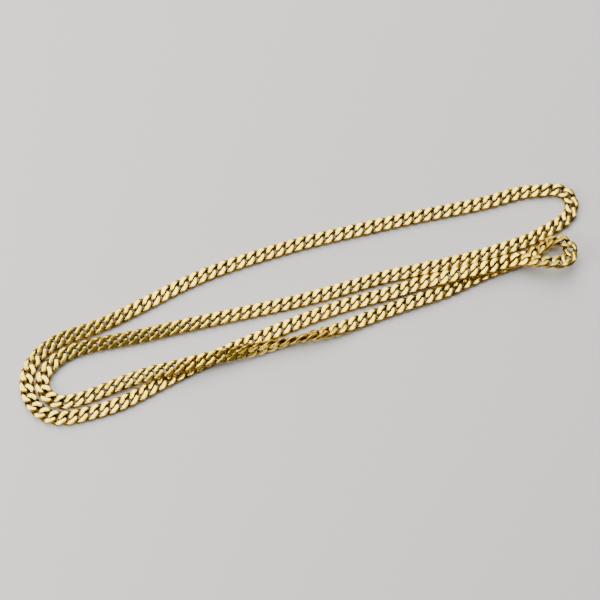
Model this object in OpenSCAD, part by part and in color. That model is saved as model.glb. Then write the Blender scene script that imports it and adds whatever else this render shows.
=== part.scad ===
// Curb chain necklace: one endless chain of filed, twisted links.
// It lies in two nested bights, folded once at the right, with
// one half turn of twist in its lower strand.

/* [Chain] */
// Distance from one link to the next along the chain
link_pitch = 2.55; // [2.52:0.01:2.58]
// Play between a link and the ends of its neighbours
link_play = 0.79; // [0.75:0.01:0.82]
// Width over a link, side to side
link_w = 3.6; // [3.5:0.01:3.65]

/* [Wire] */
// Width of the metal at each end of a link, seen from above
end_w = 0.68; // [0.6:0.01:0.7]
// Width of the metal along each side of a link, seen from above
side_w = 0.74; // [0.65:0.01:0.78]
// Thickness of the sloping metal at the ends
end_t = 0.62; // [0.55:0.01:0.64]
// Thickness of the sloping metal at the sides
side_t = 0.64; // [0.58:0.01:0.68]

/* [Twist and filing] */
// Slope of the ends of a link, from the twist
end_tilt = 57; // [55:1:60]
// Slope of the sides of a link, from the twist
side_tilt = 31; // [29:1:33]
// Thickness over the two filed flats
flat_t = 1.5; // [1.4:0.01:1.52]
// Bevel along the outer edge of the flats
bevel = 0.3; // [0.2:0.01:0.4]

/* [Lay] */
// Height over the two strands where they cross, as a share of the lay below
lift_share = 1; // [0.97:0.01:1.1]

/* [Hidden] */
$fn = 32;

link_l = link_pitch + 2 * end_w + link_play;
cut = 3 * link_l;
// The lay is given for links 3.6 mm wide and grows with them.
grow = link_w / 3.6;

// Turning points of the lay, in order along the chain, seen from above:
// x, y, lift in thicknesses of the chain, and turn about its own length.
ROUTE = [
    // upper outer strand, right to left
    [60.85, 28.63, 0, 4], [56, 28.5, 0, 0], [50, 26.3, 0, 0], [42, 24.3, 0, 0],
    [32, 22.3, 0, 0], [22, 20, 0, 0], [12, 17.5, 0, 0], [2, 15.1, 0, 0],
    [-8, 12, 0, 0], [-18, 8.6, 0, 0], [-27, 4.9, 0, 0], [-36, -0.2, 0, 0],
    [-44, -4.6, 0, -10], [-52, -8.5, 0, -20],
    // outer left bend
    [-58.4, -10.1, 0, -19], [-64.45, -14.63, 0, -12], [-66.79, -20.29, 0.04, 0],
    [-65.4, -26.2, 0.02, 0], [-61.2, -29.9, 0, 0], [-56, -30.5, 0, 0],
    // first lower strand, left to right, under the second where they cross
    [-50, -28.8, 0, 0], [-43.46, -27, 0, 0], [-36.5, -23.06, 0, -1], [-31.5, -20.26, 0, -2],
    [-27, -18, 0.02, 0], [-23, -16, 0, 0], [-19, -14.1, 0, 0], [-14.5, -12, 0, 0],
    [-9, -9.6, 0, 0], [-3, -7.1, 0, 0], [4, -4.2, 0, 0], [12, -1.3, 0, 0], [20.18, 0.72, 0.04, -5],
    [26, 2.5, 0.2, 0], [30.59, 4.17, 0.52, -6], [36.01, 4.72, 1.2, -6], [39.7, 6.29, 1.35, 0], [45, 7.1, 1.4, 0],
    [50, 8.6, 1.4, 0], [54.18, 9.8, 1.42, -2],
    // fold at the right, which leans on the strand below it
    [58.3, 8.63, 1.67, -30], [62.28, 8.15, 2.07, -33], [66.1, 8.51, 2.27, -9], [67.8, 11.91, 1.52, 10],
    [64.63, 15.65, 0.86, 33], [60.87, 13.36, 0, 61], [56.86, 10.97, 0.04, 6],
    // second lower strand, right to left, turned over on its way
    [52, 9, 0.03, 0], [46.5, 7, 0.02, 0], [42, 4.9, 0.02, 0], [36.36, 2.06, 0, -7], [31.32, 0.28, 0.08, 10],
    [22, -2.9, 0, 0], [14, -6.1, 0.07, 0], [9, -8.1, 0.07, 20], [4, -9.6, 0, 50],
    [-2, -11.1, 0, 80], [-7, -12.4, 0.1, 105], [-11.5, -13.5, 0.3, 125], [-16, -14.5, 0.7, 145],
    [-20, -15.4, 1.1, 165], [-24, -16.4, 1.3, 175], [-29.81, -18.18, 1.54, 163],
    [-37.93, -19.75, 0.92, 172], [-47, -23.2, 0.15, 180], [-54, -26.1, 0, 180],
    // inner left bend
    [-59.4, -26.6, 0.03, 180], [-63.06, -22.56, 0, 187], [-61.81, -18.2, 0.07, 184],
    [-57.9, -14.35, 0.07, 194], [-52.5, -12.5, 0, 205],
    // upper inner strand, left to right
    [-47, -11.4, 0, 210], [-40, -10.1, 0, 205], [-30, -7.4, 0, 195], [-20, -5.1, 0, 185],
    [-10, -2.8, 0, 180], [0, -0.6, 0, 180], [10, 2.27, 0.01, 180], [20, 5.59, 0.01, 178],
    [29.91, 7.56, 0, 177], [40, 9.8, 0, 180], [50.2, 12.87, 0, 180], [58.02, 15.57, 0.09, 176],
    // right corner
    [63.03, 18.71, 0, 185], [67.8, 21.2, 0.12, 178], [69.2, 26.3, 0, 184], [65.89, 29.4, 0, 184]
];
rows = len(ROUTE);
steps = 12;

// A row of the list, which runs on with half a turn more after each round.
function row(i) = ROUTE[i % rows] + [0, 0, 0, 180 * floor(i / rows)];

// A smooth curve through the rows, from row i, at share t of the way.
function smooth(i, t) =
    (1 - t) ^ 3 / 6 * row(i)
    + (3 * t ^ 3 - 6 * t ^ 2 + 4) / 6 * row(i + 1)
    + (-3 * t ^ 3 + 3 * t ^ 2 + 3 * t + 1) / 6 * row(i + 2)
    + t ^ 3 / 6 * row(i + 3);

// Height of a link's middle when it stands on the table at this turn.
function rest(a) = link_w / 2 * abs(sin(a)) + flat_t / 2 * abs(cos(a));

// The centre line of the chain, with its turn, and the length up to each point.
line = [for (i = [0 : rows - 1], k = [0 : steps - 1])
    let (v = smooth(i, k / steps))
        [v.x * grow, v.y * grow, rest(v[3]) + v.z * flat_t * lift_share, v[3]]];
closed = concat(line, [line[0] + [0, 0, 0, 180]]);
function at(i) = [closed[i].x, closed[i].y, closed[i].z];
run = [for (i = 0, s = 0; i < len(closed);
    s = s + (i + 1 < len(closed) ? norm(at(i + 1) - at(i)) : 0), i = i + 1) s];
chain_len = run[len(run) - 1];
n = round(chain_len / link_pitch);

// Middle and turn of each link, evenly spaced along the centre line.
tables = [for (c = [0 : 3]) [for (i = [0 : len(closed) - 1]) [run[i], closed[i][c]]]];
spots = [for (i = [0 : n - 1]) [for (c = [0 : 3]) lookup(i * chain_len / n, tables[c])]];
xs = [for (p = spots) p.x];
ys = [for (p = spots) p.y];
lay_mid = [(min(xs) + max(xs)) / 2, (min(ys) + max(ys)) / 2, 0];
function spot(i) = let (p = spots[(i + n) % n]) [p.x, p.y, p.z] - lay_mid;

// Plan of a link: an oval, two round ends joined by straight sides.
module oval(l, w) {
    square([l - w, w], center = true);
    for (s = [-1, 1]) translate([s * (l - w) / 2, 0]) circle(d = w);
}

// One of the four sloping cuts that leave the twisted wire.
module slope_cut() {
    intersection() {
        rotate([0, side_tilt, 0])
            translate([-cut / 2, -cut / 2, side_t / 2]) cube(cut);
        rotate([-end_tilt, 0, 0])
            translate([-cut / 2, -cut / 2, end_t / 2]) cube(cut);
    }
}

// One link, its length along X, its filed flats facing up and down.
module link() {
    w = link_w / 2;
    h = flat_t / 2;
    difference() {
        intersection() {
            linear_extrude(2 * flat_t, center = true) difference() {
                oval(link_l, link_w);
                oval(link_l - 2 * end_w, link_w - 2 * side_w);
            }
            rotate([90, 0, 90]) linear_extrude(2 * link_l, center = true) polygon([
                [-w, bevel - h], [bevel - w, -h], [w - bevel, -h], [w, bevel - h],
                [w, h - bevel], [w - bevel, h], [bevel - w, h], [-w, h - bevel]
            ]);
        }
        for (s = [0, 180], f = [0, 180]) rotate([f, 0, s]) slope_cut();
    }
}

// Link number i where it lies in the chain.
module laid_link(i) {
    p = spot(i);
    d = spot(i + 1) - spot(i - 1);
    t = d / norm(d);
    e = cross([0, 0, 1], t);
    side = e / norm(e);
    a = spots[i][3];
    y = side * cos(a) + cross(t, side) * sin(a);
    z = cross(t, y);
    multmatrix([
        [t.x, y.x, z.x, p.x],
        [t.y, y.y, z.y, p.y],
        [t.z, y.z, z.z, p.z]
    ]) link();
}

// Upper outer strand, outer bend and lower outer strand, round the fold.
module outer_chain() {
    color("darkgoldenrod") for (i = [0 : floor(n / 2) - 1]) laid_link(i);
}

// Lower inner strand, inner bend and upper inner strand, round the corner.
module inner_chain() {
    color("goldenrod") for (i = [floor(n / 2) : n - 1]) laid_link(i);
}

outer_chain();
inner_chain();
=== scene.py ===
import bpy, bmesh, math, random
from mathutils import Matrix, Vector


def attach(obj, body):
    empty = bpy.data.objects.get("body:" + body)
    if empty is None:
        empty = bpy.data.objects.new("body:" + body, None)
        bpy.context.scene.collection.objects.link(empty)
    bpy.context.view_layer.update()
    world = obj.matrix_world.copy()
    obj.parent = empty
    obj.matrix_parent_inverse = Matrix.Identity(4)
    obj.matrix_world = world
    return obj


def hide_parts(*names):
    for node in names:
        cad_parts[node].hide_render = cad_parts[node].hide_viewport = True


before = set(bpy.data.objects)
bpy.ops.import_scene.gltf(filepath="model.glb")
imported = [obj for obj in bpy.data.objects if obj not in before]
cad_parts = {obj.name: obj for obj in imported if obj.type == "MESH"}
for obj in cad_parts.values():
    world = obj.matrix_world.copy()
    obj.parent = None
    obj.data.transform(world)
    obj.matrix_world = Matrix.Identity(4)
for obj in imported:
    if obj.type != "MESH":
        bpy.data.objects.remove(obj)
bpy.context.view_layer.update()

# The link of a filed curb chain, in millimetres: an oval of round gold wire, its two
# ends twisted against each other until the links lie flat, side by side, and its
# high corners then filed to two flats on the top and two below.
wire = 1.15
link_wide = 3.7
pitch = 2.55
play = 0.1
twist = 0.64
flat_half = 0.75
wire_sides = 6
wire_steps = 16
half_long = (pitch + wire + play) / 2
half_wide = (link_wide - wire) / 2


def bent_link():
    bm = bmesh.new()
    loops = []
    for i in range(wire_steps):
        a = 2 * math.pi * i / wire_steps
        c, s = math.cos(a), math.sin(a)
        spot = Vector((half_long * c, half_wide * s, -twist * math.sin(2 * a)))
        way = Vector((-half_long * s, half_wide * c, -2 * twist * math.cos(2 * a))).normalized()
        out = Vector((spot.x, spot.y, 0))
        out = (out - out.dot(way) * way).normalized()
        place = Matrix((out, way.cross(out), way)).transposed().to_4x4()
        place.translation = spot
        ring = bmesh.ops.create_circle(bm, segments=wire_sides, radius=wire / 2, matrix=place)
        loops.append(list({e for v in ring["verts"] for e in v.link_edges}))
    for one, other in zip(loops, loops[1:] + loops[:1]):
        bmesh.ops.bridge_loops(bm, edges=one + other)
    bmesh.ops.recalc_face_normals(bm, faces=bm.faces)
    for up in (1, -1):
        whole = bm.verts[:] + bm.edges[:] + bm.faces[:]
        bmesh.ops.bisect_plane(bm, geom=whole, dist=0.01, plane_co=(0, 0, up * flat_half),
                               plane_no=(0, 0, up), clear_outer=True)
        rim = [e for e in bm.edges if e.is_boundary]
        bmesh.ops.holes_fill(bm, edges=rim, sides=0)
    for f in bm.faces:
        f.smooth = True
    return bm


link_mesh = bpy.data.meshes.new("bent_link")
one_link = bent_link()
one_link.to_mesh(link_mesh)
one_link.free()


# The lay of the chain on the table, seen from above: the turning points along its
# centre line, each with its lift in thicknesses of the chain and its turn about its
# own length. The links hang in each other, a pitch apart along a smooth line.
turning_points = [
    (60.85, 28.63, 0, 4), (56, 28.5, 0, 0), (50, 26.3, 0, 0), (42, 24.3, 0, 0), (32, 22.3, 0, 0),
    (22, 20, 0, 0), (12, 17.5, 0, 0), (2, 15.1, 0, 0), (-8, 12, 0, 0), (-18, 8.6, 0, 0),
    (-27, 4.9, 0, 0), (-36, -0.2, 0, 0), (-44, -4.6, 0, -10), (-52, -8.5, 0, -20),
    (-58.4, -10.1, 0, -19), (-64.45, -14.63, 0, -12), (-66.79, -20.29, 0.04, 0),
    (-65.4, -26.2, 0.02, 0), (-61.2, -29.9, 0, 0), (-56, -30.5, 0, 0),
    (-50, -28.8, 0, 0), (-43.46, -27, 0, 0), (-36.5, -23.06, 0, -1), (-31.5, -20.26, 0, -2),
    (-27, -18, 0.02, 0), (-23, -16, 0, 0), (-19, -14.1, 0, 0), (-14.5, -12, 0, 0),
    (-9, -9.6, 0, 0), (-3, -7.1, 0, 0), (4, -4.2, 0, 0), (12, -1.3, 0, 0), (20.18, 0.72, 0.04, -5),
    (26, 2.5, 0.2, 0), (30.59, 4.17, 0.52, -6), (36.01, 4.72, 1.2, -6), (39.7, 6.29, 1.35, 0),
    (45, 7.1, 1.4, 0), (50, 8.6, 1.4, 0), (54.18, 9.8, 1.42, -2),
    (58.3, 8.63, 1.67, -30), (62.28, 8.15, 2.07, -33), (66.1, 8.51, 2.27, -9),
    (67.8, 11.91, 1.52, 10), (64.63, 15.65, 0.86, 33), (60.87, 13.36, 0, 61),
    (56.86, 10.97, 0.04, 6),
    (52, 9, 0.03, 0), (46.5, 7, 0.02, 0), (42, 4.9, 0.02, 0), (36.36, 2.06, 0, -7),
    (31.32, 0.28, 0.08, 10), (22, -2.9, 0, 0), (14, -6.1, 0.07, 0), (9, -8.1, 0.07, 20),
    (4, -9.6, 0, 50), (-2, -11.1, 0, 80), (-7, -12.4, 0.1, 105), (-11.5, -13.5, 0.3, 125),
    (-16, -14.5, 0.7, 145), (-20, -15.4, 1.1, 165), (-24, -16.4, 1.3, 175),
    (-29.81, -18.18, 1.54, 163), (-37.93, -19.75, 0.92, 172), (-47, -23.2, 0.15, 180),
    (-54, -26.1, 0, 180),
    (-59.4, -26.6, 0.03, 180), (-63.06, -22.56, 0, 187), (-61.81, -18.2, 0.07, 184),
    (-57.9, -14.35, 0.07, 194), (-52.5, -12.5, 0, 205),
    (-47, -11.4, 0, 210), (-40, -10.1, 0, 205), (-30, -7.4, 0, 195), (-20, -5.1, 0, 185),
    (-10, -2.8, 0, 180), (0, -0.6, 0, 180), (10, 2.27, 0.01, 180), (20, 5.59, 0.01, 178),
    (29.91, 7.56, 0, 177), (40, 9.8, 0, 180), (50.2, 12.87, 0, 180), (58.02, 15.57, 0.09, 176),
    (63.03, 18.71, 0, 185), (67.8, 21.2, 0.12, 178), (69.2, 26.3, 0, 184), (65.89, 29.4, 0, 184),
]
rest_wide = 3.6
span_steps = 12


def turning_point(i):
    x, y, lift, turn = turning_points[i % len(turning_points)]
    return Vector((x, y, lift * 2 * flat_half, turn + 180 * (i // len(turning_points))))


def smooth_point(i, t):
    # the smooth line at share t of the span that follows turning point i + 1
    shares = ((1 - t) ** 3, 3 * t ** 3 - 6 * t ** 2 + 4, -3 * t ** 3 + 3 * t ** 2 + 3 * t + 1, t ** 3)
    near = (share * turning_point(i + k) for k, share in enumerate(shares))
    return sum(near, Vector((0, 0, 0, 0))) / 6


def centre_line():
    # a link stands higher on the table where the chain is turned up on its edge
    line = []
    for i in range(len(turning_points)):
        for k in range(span_steps):
            p = smooth_point(i, k / span_steps)
            a = math.radians(p[3])
            p[2] += rest_wide / 2 * abs(math.sin(a)) + flat_half * abs(math.cos(a))
            line.append(p)
    line.append(line[0] + Vector((0, 0, 0, 180)))
    return line


def link_spots():
    # whole pitches along the line, measured from the middle of the lay
    line = centre_line()
    run = [0.0]
    for p, q in zip(line, line[1:]):
        run.append(run[-1] + (q.to_3d() - p.to_3d()).length)
    count = round(run[-1] / pitch)
    spots, k = [], 0
    for i in range(count):
        s = i * run[-1] / count
        while run[k + 1] < s:
            k += 1
        spots.append(line[k].lerp(line[k + 1], (s - run[k]) / (run[k + 1] - run[k])))
    middle = Vector(((min(p.x for p in spots) + max(p.x for p in spots)) / 2,
                     (min(p.y for p in spots) + max(p.y for p in spots)) / 2, 0, 0))
    return [p - middle for p in spots], middle


def link_places():
    # each link along the line between its neighbours, in metres
    spots, middle = link_spots()
    places = []
    for i, p in enumerate(spots):
        way = (spots[(i + 1) % len(spots)] - spots[i - 1]).to_3d().normalized()
        side = Vector((0, 0, 1)).cross(way).normalized()
        a = math.radians(p[3])
        y = side * math.cos(a) + way.cross(side) * math.sin(a)
        place = Matrix((way, y, way.cross(y))).transposed().to_4x4()
        place.translation = p.to_3d()
        places.append(Matrix.Scale(0.001, 4) @ place)
    return places, middle


places, lay_middle = link_places()


# The metal: yellow gold, polished on the round of the wire, and satin on the filed flats, which are
# paler and have fine scratches.
# The round of the wire is painted a darker, browner gold as painted shade on its sides.
# A brown film of dirt lies in the hollows that hands and cloth don't reach, and the same brown is
# painted as shade in the links' eyes and on their low sides.
scratch_angles = (20, 75, 130)


def fine_scratches():
    group = bpy.data.node_groups.new("fine_scratches", "ShaderNodeTree")
    group.interface.new_socket("Vector", in_out="INPUT", socket_type="NodeSocketVector")
    group.interface.new_socket("Scale", in_out="INPUT", socket_type="NodeSocketFloat")
    group.interface.new_socket("Mask", in_out="OUTPUT", socket_type="NodeSocketFloat")
    inside, outside = group.nodes.new("NodeGroupInput"), group.nodes.new("NodeGroupOutput")
    masks = []
    for angle in scratch_angles:
        turn = group.nodes.new("ShaderNodeMapping")
        turn.inputs["Rotation"].default_value = (0, 0, math.radians(angle))
        turn.inputs["Scale"].default_value = (1, 14, 1)
        group.links.new(inside.outputs["Vector"], turn.inputs["Vector"])
        noise = group.nodes.new("ShaderNodeTexNoise")
        noise.inputs["Detail"].default_value = 1.0
        group.links.new(turn.outputs[0], noise.inputs["Vector"])
        group.links.new(inside.outputs["Scale"], noise.inputs["Scale"])
        ramp = group.nodes.new("ShaderNodeMapRange")
        ramp.inputs["From Min"].default_value = 0.62
        ramp.inputs["From Max"].default_value = 0.72
        group.links.new(noise.outputs[0], ramp.inputs["Value"])
        masks.append(ramp.outputs[0])
    total = masks[0]
    for mask in masks[1:]:
        either = group.nodes.new("ShaderNodeMath")
        either.operation = "MAXIMUM"
        group.links.new(total, either.inputs[0])
        group.links.new(mask, either.inputs[1])
        total = either.outputs[0]
    group.links.new(total, outside.inputs["Mask"])
    return group


pale_gold = (0.98, 0.74, 0.115)
deep_gold = (0.92, 0.64, 0.075)
# a darker, browner gold painted on the round of the wire as painted shade on its sides
shaded_side_gold = (0.86, 0.53, 0.07)
# the dark brown of the film of dirt, also used as painted shade in the links' eyes and on their low
# sides
brown_film_and_shade = (0.045, 0.015, 0.006)


def chain_gold():
    mat = bpy.data.materials.new("chain_gold")
    mat.use_nodes = True
    nodes, links = mat.node_tree.nodes, mat.node_tree.links
    shader = nodes["Principled BSDF"]
    shader.inputs["Metallic"].default_value = 1.0

    def blend(share, low, high):
        mix = nodes.new("ShaderNodeMix")
        mix.data_type = "RGBA"
        links.new(share, mix.inputs[0])
        for place, colour in ((6, low), (7, high)):
            if isinstance(colour, tuple):
                mix.inputs[place].default_value = (*colour, 1)
            else:
                links.new(colour, mix.inputs[place])
        return mix.outputs[2]

    spots = nodes.new("ShaderNodeTexCoord")
    # per vertex: the share of painted shade and dirt, the flat mask and the link's random tone
    shade_and_film_flats_tone = nodes.new("ShaderNodeAttribute")
    shade_and_film_flats_tone.attribute_name = "shade_and_film_flats_tone"
    parts = nodes.new("ShaderNodeSeparateColor")
    links.new(shade_and_film_flats_tone.outputs["Color"], parts.inputs[0])
    lit_and_clean_share, on_flats, link_tone = parts.outputs[:3]
    clouds = nodes.new("ShaderNodeTexNoise")
    clouds.inputs["Scale"].default_value = 260
    clouds.inputs["Detail"].default_value = 4
    links.new(spots.outputs["Object"], clouds.inputs["Vector"])
    film_and_shade = nodes.new("ShaderNodeMath")
    film_and_shade.operation = "MULTIPLY_ADD"
    links.new(clouds.outputs[0], film_and_shade.inputs[0])
    film_and_shade.inputs[1].default_value = 0.5
    links.new(lit_and_clean_share, film_and_shade.inputs[2])
    bare_and_lit = nodes.new("ShaderNodeMapRange")
    bare_and_lit.inputs["From Min"].default_value = 0.45
    bare_and_lit.inputs["From Max"].default_value = 1.0
    links.new(film_and_shade.outputs[0], bare_and_lit.inputs["Value"])
    # painted shade: the round sides of the wire get the darker, browner gold; the flats get the paler
    # gold of the link's tone
    metal = blend(on_flats, shaded_side_gold, blend(link_tone, deep_gold, pale_gold))
    # painted shade: the links' eyes and low sides turn dark brown, together with a patchy film of
    # dirt
    links.new(blend(bare_and_lit.outputs[0], brown_film_and_shade, metal), shader.inputs["Base Color"])
    scratch = nodes.new("ShaderNodeGroup")
    scratch.node_tree = fine_scratches()
    scratch.inputs["Scale"].default_value = 900
    links.new(spots.outputs["Object"], scratch.inputs["Vector"])
    scratched = nodes.new("ShaderNodeMath")
    scratched.operation = "MULTIPLY"
    links.new(scratch.outputs[0], scratched.inputs[0])
    links.new(on_flats, scratched.inputs[1])
    rough = nodes.new("ShaderNodeMapRange")
    rough.inputs["To Min"].default_value = 0.42
    rough.inputs["To Max"].default_value = 0.24
    links.new(bare_and_lit.outputs[0], rough.inputs["Value"])
    rougher = nodes.new("ShaderNodeMath")
    rougher.operation = "MULTIPLY_ADD"
    rougher.inputs[1].default_value = 0.14
    links.new(scratched.outputs[0], rougher.inputs[0])
    links.new(rough.outputs[0], rougher.inputs[2])
    links.new(rougher.outputs[0], shader.inputs["Roughness"])
    bump = nodes.new("ShaderNodeBump")
    bump.inputs["Strength"].default_value = 0.25
    bump.inputs["Distance"].default_value = 0.00002
    links.new(scratched.outputs[0], bump.inputs["Height"])
    links.new(bump.outputs[0], shader.inputs["Normal"])
    return mat


gold = chain_gold()


# The two runs of the chain, laid link by link. The first goes from the corner at the
# right round the outer left bend and under the crossing to the fold, the second from
# the fold over the crossing and round the inner bend back to the corner.
eye_edge = 0.62
eye_slope = 1.6
round_share = 0.35


def shade_and_film_at(spot):
    # painted shade and dirt: how lit and clean a spot on the link is, rising out from its eye and up
    # to its flats, so that the eye and the low sides are painted darker; and whether it is on a flat
    ring = Vector((spot.x / half_long, spot.y / half_wide, 0)).length
    high = min(1.0, abs(spot.z) / flat_half)
    outside = min(1.0, max(0.0, (ring - eye_edge) * eye_slope))
    lit_and_clean = round_share * outside + (1 - round_share) * high ** 2.8
    return lit_and_clean, 1.0 if high > 0.98 else 0.0


def laid_run(name, first, last, seed):
    rng = random.Random(seed)
    bm = bmesh.new()
    shade_and_film_flats_tone = bm.verts.layers.float_color.new("shade_and_film_flats_tone")
    for place in places[first:last]:
        start = len(bm.verts)
        bm.from_mesh(link_mesh)
        bm.verts.ensure_lookup_table()
        new = bm.verts[start:]
        tone = rng.random()
        for v in new:
            # first channel: painted shade and dirt, darker in the eye and low down; second: the flat
            # mask; third: the link's random tone
            v[shade_and_film_flats_tone] = (*shade_and_film_at(v.co), tone, 1.0)
        bmesh.ops.transform(bm, matrix=place, verts=new)
    mesh = bpy.data.meshes.new(name)
    bm.to_mesh(mesh)
    bm.free()
    mesh.materials.append(gold)
    piece = bpy.data.objects.new(name, mesh)
    bpy.context.scene.collection.objects.link(piece)
    # the filed faces keep their level shade up to a softly worn rim
    soft_rims = piece.modifiers.new("soft_rims", "WEIGHTED_NORMAL")
    soft_rims.mode = "FACE_AREA"
    soft_rims.weight = 70
    return piece


half_way = len(places) // 2
outer_links = laid_run("outer_links", 0, half_way, 11)
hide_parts("outer_chain")
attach(outer_links, "root")

inner_links = laid_run("inner_links", half_way, len(places), 12)
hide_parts("inner_chain")
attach(inner_links, "root")


# The plain pale table top that the chain lies on, wide enough to fill every view.
# It is a hair below the links' flats, so that no two faces lie in one level.
table_half = 3.0
table_level = -0.00002
table = bpy.data.meshes.new("table_top")
bm = bmesh.new()
bmesh.ops.create_grid(bm, x_segments=1, y_segments=1, size=table_half,
                      matrix=Matrix.Translation((0, 0, table_level)))
bm.to_mesh(table)
bm.free()
table_top = bpy.data.objects.new("table_top", table)
bpy.context.scene.collection.objects.link(table_top)
paper = bpy.data.materials.new("pale_paper")
paper.use_nodes = True
paper_shader = paper.node_tree.nodes["Principled BSDF"]
paper_shader.inputs["Base Color"].default_value = (0.66, 0.65, 0.63, 1)
paper_shader.inputs["Roughness"].default_value = 0.8
table.materials.append(paper)


# The light: a wide soft box over the table, behind the chain and a little to its
# left, a weak one far behind, a small warm one low at the front left, and a faint
# surround. Places and sizes are in metres, powers in watts.
def soft_box(name, spot, aim, size, power, tint=(1, 1, 1)):
    lamp = bpy.data.lights.new(name, "AREA")
    lamp.shape = "SQUARE"
    lamp.size = size
    lamp.energy = power
    lamp.color = tint
    box = bpy.data.objects.new(name, lamp)
    box.location = spot
    box.rotation_euler = (Vector(aim) - Vector(spot)).to_track_quat("-Z", "Y").to_euler()
    bpy.context.scene.collection.objects.link(box)


soft_box("over_box", (-0.13, 0.33, 0.7), (-0.03, 0.01, 0), 0.85, 12)
soft_box("back_box", (0, 0.75, 0.2), (0, 0, 0.15), 0.8, 3)
soft_box("left_box", (-0.35, -0.12, 0.25), (-0.02, 0, 0), 0.2, 1.5, (1, 0.97, 0.92))
surround = bpy.data.worlds.new("surround")
surround.use_nodes = True
surround.node_tree.nodes["Background"].inputs[0].default_value = (1, 0.96, 0.97, 1)
surround.node_tree.nodes["Background"].inputs[1].default_value = 0.11
bpy.context.scene.world = surround


# The camera, at the photo's steep angle from the front of the table. It is aimed at
# the point that the lay's turning points are measured from.
steepness = math.radians(72)
distance = 0.3513
aim = Vector((-lay_middle.x, -lay_middle.y, 0)) * 0.001
camera_data = bpy.data.cameras.new("camera")
camera_data.sensor_width = 36
camera_data.lens = 85.2
camera_data.clip_start = 0.01
camera = bpy.data.objects.new("camera", camera_data)
camera.location = aim + distance * Vector((0, -math.cos(steepness), math.sin(steepness)))
camera.rotation_euler = (math.pi / 2 - steepness, 0, 0)
bpy.context.scene.collection.objects.link(camera)
bpy.context.scene.camera = camera
